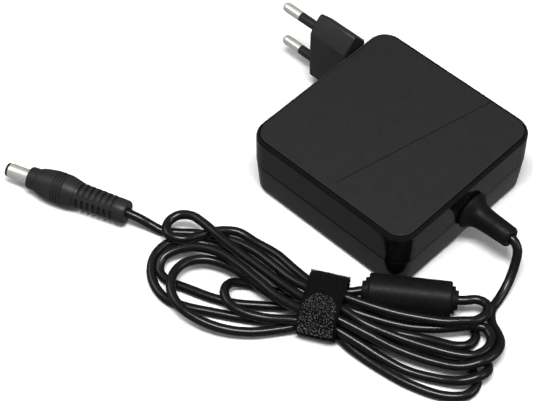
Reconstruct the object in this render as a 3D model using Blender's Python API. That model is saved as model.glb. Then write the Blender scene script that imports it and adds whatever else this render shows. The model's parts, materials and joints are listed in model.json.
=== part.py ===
"""Laptop power adapter: square wall adapter with a pull-off mains plug head,
a strain-relief boot, a ferrite bead, a wound DC cord and a barrel plug.

Sizes are in millimetres and turned into metres by MM.  +Z is up, the adapter
lies on its underside, the mains plug points to -X and the DC cord leaves at +X.
"""
import bpy
import bmesh
from math import cos, sin, pi, radians
from mathutils import Matrix, Vector

MM = 0.001

# --- housing -----------------------------------------------------------------
HALF = 37.9            # half of the square body at the top half's wall
CORNER_C = 29.8        # centre of every corner rounding, from the middle
HEIGHT = 30.0
SEAM_LO = 15.1         # top of the lower shell
SEAM_HI = 15.4         # bottom of the upper shell
DRAFT = 1.1            # how far the lower shell leans in by its foot
FLOOR_T = 2.0
ROOF_Z = 26.6
PANEL_HALF = 36.4
PANEL_T = 1.1
GROOVE_W = 0.5
GROOVE_D = 0.35
GROOVE_A = (1.8, -33.0)
GROOVE_B = (17.2, 36.0)
LABEL = (46.0, 22.0)
LABEL_C = (0.0, 19.0)

# --- mains plug head -----------------------------------------------------------
PLUG_Y = 21.7
PLUG_Z = 17.8
PLUG_HALF_H = 17.65
PLUG_HALF_T = 5.9
PLUG_FLAT = 11.5
PLUG_X0 = -56.6        # front face
PLUG_X1 = -38.3        # rear face
PIN_PITCH = 18.4
PIN_R = 2.0
PIN_SHAFT_R = 1.5
PIN_TIP_X = -75.4
PIN_STEP_X = -66.5
SLEEVE_R = 1.95
SLEEVE_BORE = 1.62
TONGUE_Z = 16.5
TONGUE = (4.0, 7.0)    # half width, half height
TONGUE_X1 = -31.0
POCKET_GAP = 0.3
POCKET_X1 = -30.2
BLADE_DZ = 3.6

# --- DC side -------------------------------------------------------------------
BOOT_Y = 1.3
BOOT_Z = 15.2
BOOT_END = 57.2
CORD_R = 1.75
BORE_R = 2.05

FERRITE_MID = (43.8, -38.5, 6.9)
FERRITE_DEG = 36.3
FERRITE_R = 6.7
FERRITE_HALF = 14.9

HANK_MID = (26.0, -64.5)
HANK_DEG = 17.5
TIE_MID = (24.6, -63.2)
TIE_DEG = 29.0
TIE_W = 14.2

DC_MID = (-95.8, -96.2, 6.25)
DC_DEG = 19.6
DC_LEN = 41.2


# --- helpers ---------------------------------------------------------------------
def clear():
    for ob in list(bpy.data.objects):
        bpy.data.objects.remove(ob, do_unlink=True)


def material(name, rgb, rough, metal=0.0):
    m = bpy.data.materials.new(name)
    m.use_nodes = True
    b = m.node_tree.nodes["Principled BSDF"]
    b.inputs["Base Color"].default_value = (rgb[0], rgb[1], rgb[2], 1.0)
    b.inputs["Roughness"].default_value = rough
    b.inputs["Metallic"].default_value = metal
    m.diffuse_color = (rgb[0], rgb[1], rgb[2], 1.0)
    return m


LOOKS = {
    "shell": ((0.016, 0.016, 0.017), 0.22, 0.0),
    "panel": ((0.026, 0.026, 0.027), 0.62, 0.0),
    "black": ((0.018, 0.018, 0.019), 0.45, 0.0),
    "cord": ((0.012, 0.012, 0.013), 0.25, 0.0),
    "metal": ((0.72, 0.70, 0.66), 0.28, 1.0),
    "brass": ((0.75, 0.58, 0.30), 0.35, 1.0),
    "label": ((0.55, 0.55, 0.55), 0.5, 0.0),
    "board": ((0.05, 0.16, 0.07), 0.5, 0.0),
    "ferrite": ((0.05, 0.05, 0.055), 0.6, 0.0),
    "tape": ((0.75, 0.58, 0.12), 0.4, 0.0),
    "can": ((0.03, 0.05, 0.12), 0.35, 0.0),
    "yellow": ((0.72, 0.55, 0.10), 0.45, 0.0),
    "blue": ((0.05, 0.16, 0.42), 0.45, 0.0),
    "copper": ((0.62, 0.27, 0.12), 0.35, 1.0),
    "alu": ((0.62, 0.63, 0.65), 0.4, 1.0),
    "resin": ((0.022, 0.022, 0.022), 0.55, 0.0),
    "glass": ((0.70, 0.72, 0.70), 0.12, 0.0),
    "red": ((0.45, 0.02, 0.02), 0.4, 0.0),
    "velcro": ((0.022, 0.022, 0.023), 0.95, 0.0),
}


def finish(name, bm, look):
    """Closes a bmesh into an object with faces turned outward."""
    bmesh.ops.remove_doubles(bm, verts=bm.verts, dist=1e-7)
    bmesh.ops.recalc_face_normals(bm, faces=bm.faces)
    if bm.calc_volume(signed=True) < 0:
        bmesh.ops.reverse_faces(bm, faces=bm.faces)
    me = bpy.data.meshes.new(name)
    bm.to_mesh(me)
    bm.free()
    ob = bpy.data.objects.new(name, me)
    bpy.context.scene.collection.objects.link(ob)
    rgb, rough, metal = LOOKS[look]
    me.materials.append(material(name, rgb, rough, metal))
    return ob


def rings(name, loops, look, closed=False):
    """A skin over a row of rings with the same count of points.  With closed
    the last ring joins the first, otherwise both ends get a cap."""
    bm = bmesh.new()
    made = []
    for loop in loops:
        made.append([bm.verts.new(Vector(p) * MM) for p in loop])
    count = len(made)
    last = count if closed else count - 1
    for i in range(last):
        a = made[i]
        b = made[(i + 1) % count]
        n = len(a)
        for k in range(n):
            bm.faces.new((a[k], a[(k + 1) % n], b[(k + 1) % n], b[k]))
    if not closed:
        bm.faces.new(made[0])
        bm.faces.new(list(reversed(made[-1])))
    return finish(name, bm, look)


def square_loop(half, z, seg=10, cx=0.0, cy=0.0, corner=CORNER_C):
    """Rounded square at one height; the corners share their centres."""
    r = half - corner
    pts = []
    for sx, sy, a0 in ((1, 1, 0), (-1, 1, 90), (-1, -1, 180), (1, -1, 270)):
        for i in range(seg + 1):
            a = radians(a0 + 90.0 * i / seg)
            pts.append((cx + sx * corner + r * cos(a), cy + sy * corner + r * sin(a), z))
    return pts


def rect_loop(hx, hy, r, z, cx=0.0, cy=0.0, seg=3):
    pts = []
    for sx, sy, a0 in ((1, 1, 0), (-1, 1, 90), (-1, -1, 180), (1, -1, 270)):
        for i in range(seg + 1):
            a = radians(a0 + 90.0 * i / seg)
            pts.append((cx + sx * (hx - r) + r * cos(a), cy + sy * (hy - r) + r * sin(a), z))
    return pts


def turned(name, profile, look, seg=28, closed=False):
    """A turned piece about its own X axis; profile holds (x, radius)."""
    loops = []
    for x, r in profile:
        loops.append([(x, r * cos(2 * pi * k / seg), r * sin(2 * pi * k / seg)) for k in range(seg)])
    return rings(name, loops, look, closed)


def place(ob, at, deg=0.0):
    ob.location = Vector(at) * MM
    ob.rotation_euler = (0.0, 0.0, radians(deg))
    return ob


def block(name, lo, hi, look, r=0.0):
    """Box from corner lo to corner hi with its upright edges rounded by r."""
    cx = (lo[0] + hi[0]) / 2
    cy = (lo[1] + hi[1]) / 2
    hx = (hi[0] - lo[0]) / 2
    hy = (hi[1] - lo[1]) / 2
    if r > 0:
        loops = [rect_loop(hx, hy, r, z, cx, cy) for z in (lo[2], hi[2])]
    else:
        loops = []
        for z in (lo[2], hi[2]):
            loops.append([(hi[0], hi[1], z), (lo[0], hi[1], z), (lo[0], lo[1], z), (hi[0], lo[1], z)])
    return rings(name, loops, look)


def drum(name, at, r, h, look, rim=0.5, seg=20, axis="Z"):
    """Plain can standing on z, or lying along Y or X from its start point."""
    loops = []
    for t, rr in ((0.0, r - rim), (rim, r), (h - rim, r), (h, r - rim)):
        ring = []
        for k in range(seg):
            a = 2 * pi * k / seg
            c = rr * cos(a)
            s = rr * sin(a)
            if axis == "Z":
                ring.append((at[0] + c, at[1] + s, at[2] + t))
            elif axis == "Y":
                ring.append((at[0] + c, at[1] + t, at[2] + s))
            else:
                ring.append((at[0] + t, at[1] + c, at[2] + s))
        loops.append(ring)
    return rings(name, loops, look)


def prism_y(name, outline, y0, y1, look):
    """Extrudes an outline in X and Z along Y."""
    return rings(name, [[(x, y, z) for x, z in outline] for y in (y0, y1)], look)


def hide_cutter(ob):
    ob.hide_render = True
    ob.display_type = "WIRE"
    return ob


def cut(ob, cutter):
    m = ob.modifiers.new("cut_" + cutter.name, "BOOLEAN")
    m.operation = "DIFFERENCE"
    m.solver = "EXACT"
    m.object = cutter


def smooth_route(points, step):
    """Points read every step along a smooth curve through the given ones."""
    pts = [Vector(p) for p in points]
    ext = [pts[0] * 2 - pts[1]] + pts + [pts[-1] * 2 - pts[-2]]
    fine = []
    for i in range(1, len(ext) - 2):
        p0, p1, p2, p3 = ext[i - 1], ext[i], ext[i + 1], ext[i + 2]
        for k in range(24):
            t = k / 24.0
            a = p1 * 2
            b = (p2 - p0) * t
            c = (p0 * 2 - p1 * 5 + p2 * 4 - p3) * t * t
            d = (p1 * 3 - p0 - p2 * 3 + p3) * t * t * t
            fine.append((a + b + c + d) * 0.5)
    fine.append(pts[-1])
    total = sum((fine[i + 1] - fine[i]).length for i in range(len(fine) - 1))
    count = max(2, round(total / step))
    out = [fine[0]]
    run = 0.0
    want = total / count
    for i in range(len(fine) - 1):
        seg = (fine[i + 1] - fine[i]).length
        while run + seg >= want - 1e-9 and len(out) < count:
            f = (want - run) / seg
            out.append(fine[i].lerp(fine[i + 1], f))
            want += total / count
        run += seg
    out.append(fine[-1])
    return out


def tube(name, points, r, look, step=8.0, res=2):
    """Round cord or wire along a route, as a bevelled curve with filled ends."""
    route = smooth_route(points, step)
    cu = bpy.data.curves.new(name, "CURVE")
    cu.dimensions = "3D"
    cu.bevel_depth = r * MM
    cu.bevel_resolution = res
    cu.use_fill_caps = True
    sp = cu.splines.new("POLY")
    sp.points.add(len(route) - 1)
    for i, p in enumerate(route):
        sp.points[i].co = (p.x * MM, p.y * MM, p.z * MM, 1.0)
    ob = bpy.data.objects.new(name, cu)
    bpy.context.scene.collection.objects.link(ob)
    rgb, rough, metal = LOOKS[look]
    cu.materials.append(material(name, rgb, rough, metal))
    return ob


clear()

# --- cutters shared by both shells --------------------------------------------------
WINDOW = (TONGUE[0] + 1.9, TONGUE[1] + 1.9)
cut_window = hide_cutter(block(
    "cutter_window", (-41.0, PLUG_Y - WINDOW[0], TONGUE_Z - WINDOW[1]),
    (-33.0, PLUG_Y + WINDOW[0], TONGUE_Z + WINDOW[1]), "black"))
cut_boot = hide_cutter(place(turned("cutter_boot", [(32.0, 4.9), (42.0, 4.9)], "black", seg=32),
                             (0.0, BOOT_Y, BOOT_Z)))
cut_label = hide_cutter(block(
    "cutter_label", (LABEL_C[0] - LABEL[0] / 2 - 0.4, LABEL_C[1] - LABEL[1] / 2 - 0.4, -1.0),
    (LABEL_C[0] + LABEL[0] / 2 + 0.4, LABEL_C[1] + LABEL[1] / 2 + 0.4, 0.7), "black", r=1.5))

# --- lower shell: a drafted tray with a standing lip ----------------------------------
lower = rings("lower_shell", [
    square_loop(34.3, FLOOR_T),
    square_loop(35.3, SEAM_LO),
    square_loop(35.3, 16.5),
    square_loop(36.2, 16.5),
    square_loop(36.2, SEAM_LO),
    square_loop(HALF - 0.35, SEAM_LO),
    square_loop(HALF - 0.2, SEAM_LO - 0.35),
    square_loop(HALF - 0.3, 12.0),
    square_loop(HALF - DRAFT, 2.2),
    square_loop(HALF - DRAFT - 0.45, 1.0),
    square_loop(HALF - DRAFT - 1.0, 0.3),
    square_loop(HALF - DRAFT - 1.8, 0.0),
], "shell")
for c in (cut_window, cut_boot, cut_label):
    cut(lower, c)

# --- upper shell: walls, roof and the rim round the inlaid panel ------------------------
upper = rings("upper_shell", [
    square_loop(PANEL_HALF + 0.3, HEIGHT - PANEL_T - 0.3),
    square_loop(PANEL_HALF + 0.3, HEIGHT - 0.55),
    square_loop(PANEL_HALF + 0.55, HEIGHT - 0.3),
    square_loop(PANEL_HALF + 0.8, HEIGHT - 0.35),
    square_loop(HALF - 0.15, HEIGHT - 1.35),
    square_loop(HALF, HEIGHT - 1.8),
    square_loop(HALF, SEAM_HI + 0.3),
    square_loop(HALF - 0.25, SEAM_HI),
    square_loop(36.5, SEAM_HI),
    square_loop(36.5, 16.8),
    square_loop(35.5, 16.8),
    square_loop(35.5, ROOF_Z),
], "shell")
for c in (cut_window, cut_boot):
    cut(upper, c)

# --- matte top panel with its one straight groove -----------------------------------------
panel = rings("top_panel", [
    square_loop(PANEL_HALF, HEIGHT - PANEL_T),
    square_loop(PANEL_HALF, HEIGHT - 0.2),
    square_loop(PANEL_HALF - 0.25, HEIGHT),
], "panel")
ga = Vector((GROOVE_A[0], GROOVE_A[1], 0.0))
gb = Vector((GROOVE_B[0], GROOVE_B[1], 0.0))
gdir = (gb - ga).normalized()
gside = Vector((-gdir.y, gdir.x, 0.0)) * (GROOVE_W / 2)
groove_foot = [ga + gside, ga - gside, gb - gside, gb + gside]
cut_groove = hide_cutter(rings("cutter_groove", [
    [(p.x, p.y, HEIGHT - GROOVE_D) for p in groove_foot],
    [(p.x, p.y, HEIGHT + 1.0) for p in groove_foot]], "black"))
cut(panel, cut_groove)

block("label_plate", (LABEL_C[0] - LABEL[0] / 2, LABEL_C[1] - LABEL[1] / 2, 0.1),
      (LABEL_C[0] + LABEL[0] / 2, LABEL_C[1] + LABEL[1] / 2, 0.4), "label", r=1.2)

# --- mains plug head ---------------------------------------------------------------------
head = bpy.data.objects.new("plug_head_axis", None)
bpy.context.scene.collection.objects.link(head)
head.location = Vector((PLUG_X1, PLUG_Y, PLUG_Z)) * MM


def under_head(ob):
    """Parents a piece to the head's empty and leaves it where it is."""
    ob.parent = head
    ob.matrix_parent_inverse = Matrix.Translation(-head.location)
    return ob


def plug_outline(x, inset):
    t = PLUG_HALF_T - inset
    f = PLUG_FLAT - inset * 0.4
    h = PLUG_HALF_H - inset
    side = [(t, f), (0.9, h - 0.45), (0.45, h - 0.12), (0.0, h)]
    ring = []
    for y, z in side:
        ring.append((x, y, z))
    for y, z in reversed(side[:-1]):
        ring.append((x, -y, z))
    for y, z in side[:-1]:
        ring.append((x, -y, -z))
    ring.append((x, 0.0, -h))
    for y, z in reversed(side[:-1]):
        ring.append((x, y, -z))
    return [(a, b + PLUG_Y, c + PLUG_Z) for a, b, c in ring]


plug = rings("plug_body", [
    plug_outline(PLUG_X0, 0.7),
    plug_outline(PLUG_X0 + 0.25, 0.2),
    plug_outline(PLUG_X0 + 0.8, 0.0),
    plug_outline(PLUG_X1 - 0.6, 0.0),
    plug_outline(PLUG_X1, 0.45),
], "black")
under_head(plug)
for i, s in enumerate((1, -1)):
    z = PLUG_Z + s * PIN_PITCH / 2
    hole = hide_cutter(place(turned("cutter_pin_%d" % (i + 1), [
        (PLUG_X0 - 2.0, 1.85), (PLUG_X0 + 9.0, 1.85)], "black", seg=20), (0, PLUG_Y, z)))
    cut(plug, hole)
    pin = turned("pin_%d" % (i + 1), [
        (PIN_TIP_X, 0.75), (PIN_TIP_X + 0.25, 1.3), (PIN_TIP_X + 0.75, 1.72), (PIN_TIP_X + 1.6, PIN_R),
        (PIN_STEP_X, PIN_R), (PIN_STEP_X, PIN_SHAFT_R), (PLUG_X0 + 8.6, PIN_SHAFT_R)], "metal", seg=24)
    under_head(place(pin, (0, PLUG_Y, z)))
    sleeve = turned("pin_sleeve_%d" % (i + 1), [
        (PIN_STEP_X + 0.15, SLEEVE_BORE), (PIN_STEP_X + 0.15, SLEEVE_R - 0.1), (PIN_STEP_X + 0.35, SLEEVE_R),
        (PLUG_X0 - 0.3, SLEEVE_R), (PLUG_X0 - 0.3, SLEEVE_BORE)], "black", seg=24, closed=True)
    under_head(place(sleeve, (0, PLUG_Y, z)))

under_head(block("plug_tongue", (PLUG_X1 + 0.3, PLUG_Y - TONGUE[0], TONGUE_Z - TONGUE[1]),
                 (TONGUE_X1, PLUG_Y + TONGUE[0], TONGUE_Z + TONGUE[1]), "black", r=0.5))
for i, s in enumerate((1, -1)):
    z = TONGUE_Z + s * BLADE_DZ
    under_head(block("contact_blade_%d" % (i + 1), (TONGUE_X1 + 0.2, PLUG_Y - 2.5, z - 0.4),
                     (TONGUE_X1 + 5.8, PLUG_Y + 2.5, z + 0.4), "metal"))

# --- socket in the housing that the head plugs into -------------------------------------------
SOCKET = (TONGUE[0] + 1.6, TONGUE[1] + 1.6)
socket = block("head_socket", (-36.9, PLUG_Y - SOCKET[0], TONGUE_Z - SOCKET[1]),
               (-27.8, PLUG_Y + SOCKET[0], TONGUE_Z + SOCKET[1]), "black", r=0.6)
pocket = hide_cutter(block("cutter_pocket", (-40.0, PLUG_Y - TONGUE[0] - POCKET_GAP, TONGUE_Z - TONGUE[1] - POCKET_GAP),
                           (POCKET_X1, PLUG_Y + TONGUE[0] + POCKET_GAP, TONGUE_Z + TONGUE[1] + POCKET_GAP), "black"))
cut(socket, pocket)
for i, s in enumerate((1, -1)):
    z = TONGUE_Z + s * BLADE_DZ
    slot = hide_cutter(block("cutter_slot_%d" % (i + 1), (-32.0, PLUG_Y - 2.8, z - 0.7),
                             (-26.0, PLUG_Y + 2.8, z + 0.7), "black"))
    cut(socket, slot)
    spring = [(-27.4, z + 0.6), (-27.4, z + 1.1), (-23.4, z + 1.1), (-23.4, z - 1.1),
              (-27.4, z - 1.1), (-27.4, z - 0.6), (-24.4, z - 0.6), (-24.4, z + 0.6)]
    prism_y("socket_spring_%d" % (i + 1), spring, PLUG_Y - 2.4, PLUG_Y + 2.4, "brass")

# --- inside: board on two rails, with the power parts on it -------------------------------------
BOARD_Z = 6.2
ON = BOARD_Z + 0.3
rings("circuit_board", [rect_loop(32.0, 32.0, 3.0, z) for z in (BOARD_Z - 1.6, BOARD_Z)], "board")
block("board_rail_1", (-30.0, -31.0, 2.3), (30.0, -28.0, 4.3), "black")
block("board_rail_2", (-30.0, 28.0, 2.3), (30.0, 31.0, 4.3), "black")

TX, TY = 8.0, 15.0
core = rings("transformer_core", [
    [(TX - 12, y, ON), (TX - 8.6, y, ON), (TX - 3.4, y, ON), (TX + 3.4, y, ON), (TX + 8.6, y, ON), (TX + 12, y, ON),
     (TX + 12, y, ON + 18), (TX - 12, y, ON + 18)] for y in (TY - 4.5, TY + 4.5)], "ferrite")
for i, x0 in enumerate((TX - 8.6, TX + 3.4)):
    cut(core, hide_cutter(block("cutter_core_%d" % (i + 1), (x0, TY - 8, ON + 3.2),
                                (x0 + 5.2, TY + 8, ON + 14.8), "black")))
W0, W1 = ON + 3.5, ON + 14.5
rings("transformer_winding", [
    rect_loop(3.7, 4.8, 0.6, W0, TX, TY), rect_loop(8.3, 9.6, 2.2, W0, TX, TY),
    rect_loop(8.3, 9.6, 2.2, W1, TX, TY), rect_loop(3.7, 4.8, 0.6, W1, TX, TY)], "tape", closed=True)

drum("mains_capacitor", (3.0, -30.5, ON + 8.2), 8.2, 28.0, "can", 1.0, 24, "Y")
drum("output_capacitor_1", (26.2, 24.0, ON), 5.1, 17.0, "can", 0.7)
drum("output_capacitor_2", (26.2, 12.6, ON), 5.1, 17.0, "can", 0.7)
block("x_capacitor", (-26.0, -29.0, ON), (-17.0, -11.0, ON + 13.5), "yellow", r=0.8)
drum("y_capacitor", (14.6, -20.0, ON + 4.5), 4.2, 3.0, "blue", 0.8, 18, "X")
drum("choke_core", (-13.6, 22.0, ON), 3.6, 14.0, "ferrite", 0.4)
ring_in = [(-13.6 + 4.0 * cos(2 * pi * k / 20), 22.0 + 4.0 * sin(2 * pi * k / 20)) for k in range(20)]
ring_out = [(-13.6 + 7.2 * cos(2 * pi * k / 20), 22.0 + 7.2 * sin(2 * pi * k / 20)) for k in range(20)]
rings("choke_winding", [
    [(x, y, ON + 1.5) for x, y in ring_in], [(x, y, ON + 1.5) for x, y in ring_out],
    [(x, y, ON + 12.5) for x, y in ring_out], [(x, y, ON + 12.5) for x, y in ring_in]], "copper", closed=True)
block("bridge_rectifier", (-26.0, 4.0, ON), (-11.0, 8.0, ON + 12.0), "resin", r=0.3)
block("primary_heatsink", (-13.6, -30.0, ON), (-12.1, -3.0, ON + 18.5), "alu")
block("switching_transistor", (-11.7, -22.0, ON + 2.0), (-7.3, -12.0, ON + 16.0), "resin", r=0.3)
block("secondary_heatsink", (14.5, -8.2, ON), (31.0, -6.7, ON + 17.0), "alu")
block("rectifier_diode", (18.0, -13.0, ON + 2.0), (28.0, -8.6, ON + 15.5), "resin", r=0.3)
block("controller_chip", (20.0, -22.0, ON), (26.5, -17.5, ON + 1.7), "resin", r=0.2)
block("optocoupler", (20.0, -29.5, ON), (27.0, -25.0, ON + 3.4), "resin", r=0.2)
drum("fuse", (-22.0, -8.0, ON + 2.2), 2.1, 10.0, "glass", 0.3, 16, "Y")
tube("mains_wire_1", [(-22.2, PLUG_Y, TONGUE_Z + BLADE_DZ), (-21.4, 16.5, 19.6), (-22.0, 12.5, 13.5),
                      (-23.0, 11.2, ON + 0.9)], 0.8, "red", 4.0)
tube("mains_wire_2", [(-22.0, PLUG_Y - 2.0, TONGUE_Z - BLADE_DZ), (-24.4, 15.6, 11.6), (-27.0, 12.6, 8.4),
                      (-27.6, 12.0, ON + 0.9)], 0.8, "black", 4.0)
tube("dc_wire_1", [(32.2, BOOT_Y + 1.0, BOOT_Z), (29.5, 2.6, 13.5), (28.0, 3.4, ON + 0.9)], 0.8, "red", 4.0)
tube("dc_wire_2", [(32.2, BOOT_Y - 1.2, BOOT_Z), (30.0, -2.2, 13.0), (29.0, -2.8, ON + 0.9)], 0.8, "black", 4.0)

# --- strain-relief boot ----------------------------------------------------------------------------
place(turned("strain_relief_boot", [
    (32.7, BORE_R), (32.7, 6.0), (34.4, 6.0), (34.4, 4.55), (38.15, 4.55), (38.15, 6.9),
    (38.4, 7.3), (38.9, 7.45), (39.5, 7.25), (40.2, 6.4), (41.0, 5.65), (42.0, 5.05), (43.5, 4.65),
    (45.5, 4.4), (50.0, 4.2), (BOOT_END - 0.7, 3.95), (BOOT_END, 3.45), (BOOT_END, BORE_R)], "black", seg=32, closed=True),
    (0.0, BOOT_Y, BOOT_Z))

# --- ferrite bead: overmould with a hollow for its core ---------------------------------------------
E = FERRITE_HALF
place(turned("ferrite_overmould", [
    (-E - 2.4, BORE_R), (-E - 2.4, 3.5), (-E - 1.2, 3.7), (-E - 1.2, 4.9), (-E, 5.1), (-E, 6.2),
    (-E + 0.5, FERRITE_R), (E - 0.5, FERRITE_R), (E, 6.2), (E, 5.1), (E + 1.2, 4.9), (E + 1.2, 3.7),
    (E + 2.4, 3.5), (E + 2.4, BORE_R), (12.6, BORE_R), (12.6, 5.6), (-12.6, 5.6), (-12.6, BORE_R)],
    "black", seg=32, closed=True), FERRITE_MID, FERRITE_DEG)
place(turned("ferrite_core", [
    (-12.3, 2.5), (-12.3, 5.0), (-12.0, 5.3), (12.0, 5.3), (12.3, 5.0), (12.3, 2.5)],
    "ferrite", seg=24, closed=True), FERRITE_MID, FERRITE_DEG)

# --- DC barrel plug, along its own X from the collar to the cord -------------------------------------
RIBS = []
for k in range(4):
    x = 11.4 + 1.2 * k
    RIBS += [(x, 6.2), (x + 0.12, 5.85), (x + 0.54, 5.85), (x + 0.66, 6.2)]
dc_body = turned("dc_plug_body", [
    (0.0, 2.95), (0.0, 4.15), (0.3, 4.35), (3.3, 4.4), (3.9, 4.8), (5.2, 5.25), (7.0, 5.65), (9.2, 6.0)]
    + RIBS + [(17.0, 6.0), (18.6, 5.65), (20.2, 5.3), (20.2, BORE_R), (8.0, BORE_R), (8.0, 2.95)],
    "black", seg=32, closed=True)
place(dc_body, DC_MID, DC_DEG)
relief = turned("dc_strain_relief", [
    (20.35, BORE_R), (20.35, 5.26), (21.4, 5.02), (23.0, 4.9), (29.0, 4.8), (DC_LEN - 0.5, 4.5),
    (DC_LEN, 4.2), (DC_LEN, BORE_R)], "black", seg=32, closed=True)
place(relief, DC_MID, DC_DEG)
SLOTS = 7
SPINE = 137.0          # the two uncut spines stand here and straight across
SPINE_HALF = 9.0
for k in range(SLOTS):
    x = 22.0 + 2.35 * k
    for side in range(2):
        a0 = SPINE + 180.0 * side + SPINE_HALF
        arc = [radians(a0 + (180.0 - 2 * SPINE_HALF) * i / 12) for i in range(13)]
        loop = [(6.2 * cos(a), 6.2 * sin(a)) for a in arc] + [(3.8 * cos(a), 3.8 * sin(a)) for a in reversed(arc)]
        cut(relief, hide_cutter(place(rings("cutter_relief_%d_%d" % (k + 1, side + 1), [
            [(x - 0.55, y, z) for y, z in loop], [(x + 0.55, y, z) for y, z in loop]], "black"),
            DC_MID, DC_DEG)))
place(turned("dc_barrel", [
    (-8.8, 2.05), (-8.8, 2.68), (-8.6, 2.75), (-1.2, 2.75), (-0.6, 2.75), (7.0, 2.75), (7.0, 2.2),
    (-8.4, 2.05)], "metal", seg=28, closed=True), DC_MID, DC_DEG)
place(turned("dc_insulator", [
    (-9.9, 1.35), (-9.9, 2.4), (-9.7, 2.62), (-8.95, 2.62), (-8.95, 1.8), (6.6, 1.8), (6.6, 1.35)],
    "black", seg=24, closed=True), DC_MID, DC_DEG)
place(turned("dc_center_contact", [
    (-8.8, 0.85), (-8.8, 1.1), (6.2, 1.1), (6.2, 0.85)], "metal", seg=20, closed=True), DC_MID, DC_DEG)

# --- the cord's free stretches ---------------------------------------------------------------------------
tube("cord_lead", [
    (52.0, BOOT_Y, BOOT_Z), (55.0, BOOT_Y, BOOT_Z), (58.0, 1.25, 15.1), (61.2, 0.2, 12.4), (63.0, -3.0, 8.2),
    (64.8, -8.6, 4.2),
    (66.2, -15.5, 2.2), (67.4, -21.0, 1.9), (71.0, -25.2, 1.9), (74.6, -28.4, 2.2)], CORD_R, "cord", 7.0)
tube("cord_through_ferrite", [
    (29.2, -49.2, 6.9), (31.7, -47.35, 6.9), (43.8, -38.5, 6.9), (55.9, -29.6, 6.9), (58.6, -27.2, 6.9),
    (61.6, -23.6, 6.8), (65.6, -22.2, 6.7), (68.4, -24.6, 6.4), (68.3, -29.0, 5.6)], CORD_R, "cord", 7.0)
tube("cord_tail", [
    (-63.0, -84.5, 6.25), (-56.6, -82.25, 6.15), (-50.6, -79.6, 4.4), (-44.6, -77.4, 2.6)], CORD_R, "cord", 7.0)

# --- the wound hank: the outer shape of the coil, nipped in where the tie holds it --------------------------
HANK = [
    (-69.8, 8.0, 15.0, 0.6, 3.6),
    (-68.6, -2.0, 18.6, 0.15, 6.0),
    (-64.0, -12.5, 20.5, 0.1, 7.6),
    (-56.0, -19.5, 21.5, 0.1, 8.0),
    (-44.0, -22.5, 21.0, 0.1, 8.0),
    (-32.0, -22.8, 18.0, 0.1, 8.2),
    (-22.0, -19.0, 13.5, 0.3, 9.2),
    (-14.0, -12.6, 9.4, 1.2, 10.6),
    (-9.0, -9.4, 8.4, 1.9, 11.6),
    (0.0, -7.2, 10.2, 1.9, 12.0),
    (8.0, -5.8, 11.4, 1.9, 11.6),
    (11.0, -6.6, 8.4, 1.6, 10.6),
    (16.0, -8.6, 6.2, 0.8, 9.4),
    (24.0, -11.5, 9.4, 0.2, 8.4),
    (34.0, -13.6, 13.0, 0.1, 8.0),
    (43.0, -13.6, 16.0, 0.1, 8.0),
    (51.0, -12.4, 18.8, 0.1, 7.8),
    (57.0, -8.6, 18.6, 0.1, 7.4),
    (60.4, -2.0, 14.0, 0.2, 6.2),
    (61.6, 3.0, 9.5, 0.8, 4.4),
]


def hank_ring(u, v0, v1, z0, z1):
    c, s = cos(radians(HANK_DEG)), sin(radians(HANK_DEG))
    hv, hz = (v1 - v0) / 2, (z1 - z0) / 2
    r = min(2.6, hz * 0.8, hv * 0.8)
    ring = []
    for x, y, _ in rect_loop(hv, hz, r, 0.0, (v0 + v1) / 2, (z0 + z1) / 2, seg=3):
        ring.append((HANK_MID[0] + u * c - x * s, HANK_MID[1] + u * s + x * c, y))
    return ring


rings("cord_hank", [hank_ring(*row) for row in HANK], "cord")

# --- hook-and-loop tie: band round the waist and its pressed-down tongue -------------------------------------
TIE_IN = (10.5, 5.75)
TIE_T = 1.2
TIE_CZ = 6.95


def tie_loop(grow, a, r):
    pts = []
    for x, y, _ in rect_loop(TIE_IN[0] + grow, TIE_IN[1] + grow, r + grow, 0.0, seg=5):
        pts.append((a, x, y))
    return pts


H = TIE_W / 2
place(rings("tie_band", [tie_loop(0.0, -H, 3.4), tie_loop(TIE_T, -H, 3.4),
                         tie_loop(TIE_T, H, 3.4), tie_loop(0.0, H, 3.4)], "velcro", closed=True),
      (TIE_MID[0], TIE_MID[1], TIE_CZ), TIE_DEG)


def tongue_ring(s, half):
    """Cross-section of the tongue where it lies s along its bend."""
    top = TIE_IN[1] + TIE_T + 0.3
    side = -(TIE_IN[0] + TIE_T + 0.3)
    r = 5.0
    flat = 6.0
    arc = r * pi / 2
    if s < flat:
        at, nrm = (side + r + flat - s, top), (0.0, 1.0)
    elif s < flat + arc:
        a = (s - flat) / r
        at, nrm = (side + r - r * sin(a), top - r + r * cos(a)), (-sin(a), cos(a))
    else:
        at, nrm = (side, top - r - (s - flat - arc)), (-1.0, 0.0)
    inner = at
    outer = (at[0] + 1.2 * nrm[0], at[1] + 1.2 * nrm[1])
    return [(-half, inner[0], inner[1]), (half, inner[0], inner[1]),
            (half, outer[0], outer[1]), (-half, outer[0], outer[1])]


STEPS = [(0.0, 2.2), (0.8, 3.6), (2.0, 4.7), (4.0, 5.8), (6.0, 6.4), (7.6, 6.6), (9.2, 6.6), (10.8, 6.6),
         (12.4, 6.6), (13.9, 6.6), (16.6, 6.6)]
place(rings("tie_tongue", [tongue_ring(s, h) for s, h in STEPS], "velcro"),
      (TIE_MID[0], TIE_MID[1], TIE_CZ), TIE_DEG)
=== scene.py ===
"""Looks of a laptop power adapter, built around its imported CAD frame.

Lengths are in metres.  Route points and small pieces are written in
millimetres and scaled by MM.
"""
import json
import math
import random

import bmesh
import bpy
import numpy as np
from mathutils import Matrix, Vector

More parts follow.
